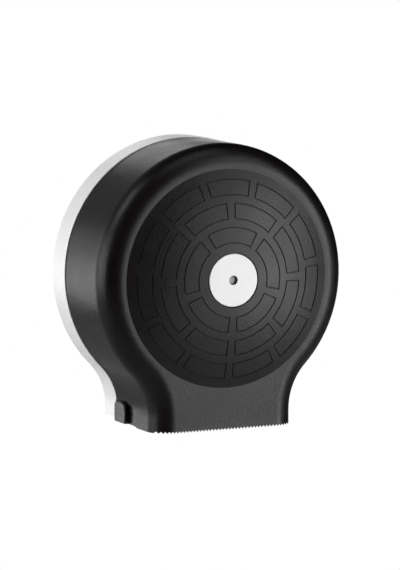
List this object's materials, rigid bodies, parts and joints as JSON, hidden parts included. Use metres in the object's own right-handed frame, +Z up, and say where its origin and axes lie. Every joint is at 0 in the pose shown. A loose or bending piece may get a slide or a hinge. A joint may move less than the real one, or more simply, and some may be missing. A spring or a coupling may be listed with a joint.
{
  "type": "jumbo toilet roll dispenser",
  "caption": "Round wall dispenser for a jumbo toilet roll, with a hinged, lockable domed cover over a braked roll hub",
  "frame": {"origin": "on the wall plane, in the middle of the four wall screw holes, on the roll's axis", "axes": "+Y into the wall, so the front faces -Y; +Z up; +X right seen from the front"},
  "size_m": [0.2642, 0.1373, 0.2811],
  "materials": {
    "white_abs": "smooth satin white",
    "black_abs": "satin black, very finely textured",
    "badge_white": "smooth satin white",
    "natural_nylon": "natural nylon",
    "grey_acetal": "grey acetal",
    "grey_abs": "light grey, satin",
    "zinc_steel": "zinc plated",
    "turned_steel": "turned, bright",
    "spring_steel": "drawn wire",
    "felt": "pressed felt"
  },
  "bodies": {
    "wall_unit": {"back_plate": "white_abs", "spindle": "grey_abs", "spindle_screws": "zinc_steel", "catch_stud": "turned_steel", "brake_washer": "felt", "thrust_washer": "zinc_steel", "brake_spring": "spring_steel", "spring_washer": "zinc_steel", "retaining_clip": "spring_steel", "hinge_pin_left": "natural_nylon", "hinge_pin_right": "natural_nylon"},
    "hub": {"roll_hub": "grey_abs", "core_adapter": "natural_nylon"},
    "cover": {"front_cover": "black_abs", "badge": "badge_white", "lock_body": "grey_acetal", "lock_cap": "grey_acetal", "lock_screws": "zinc_steel", "jaw_spring_left": "spring_steel", "jaw_spring_right": "spring_steel"},
    "plunger": {"lock_plunger": "grey_acetal"},
    "jaw_left": {"jaw_left": "natural_nylon"},
    "jaw_right": {"jaw_right": "natural_nylon"}
  },
  "joints": [
    {"name": "cover_hinge", "type": "hinge", "parent": "wall_unit", "child": "cover", "pos_m": [0, -0.044, -0.137], "axis": [1, 0, 0], "range_deg": [0, 105]},
    {"name": "hub_spin", "type": "hinge", "parent": "wall_unit", "child": "hub", "pos_m": [0, -0.06, 0], "axis": [0, 1, 0], "continuous": true},
    {"name": "lock_push", "type": "slide", "parent": "cover", "child": "plunger", "axis": [0, 1, 0], "range_m": [0, 0.004], "stiffness_N_per_m": 300, "springref_m": -0.004},
    {"name": "jaw_left_slide", "type": "slide", "parent": "cover", "child": "jaw_left", "axis": [-1, 0, 0], "range_m": [0, 0.004], "deforming": ["jaw_spring_left"]},
    {"name": "jaw_right_slide", "type": "slide", "parent": "cover", "child": "jaw_right", "axis": [1, 0, 0], "range_m": [0, 0.004], "deforming": ["jaw_spring_right"]}
  ],
  "couplings": [
    {"joint": "jaw_left_slide", "follows": "lock_push", "ratio": 1},
    {"joint": "jaw_right_slide", "follows": "lock_push", "ratio": 1}
  ]
}
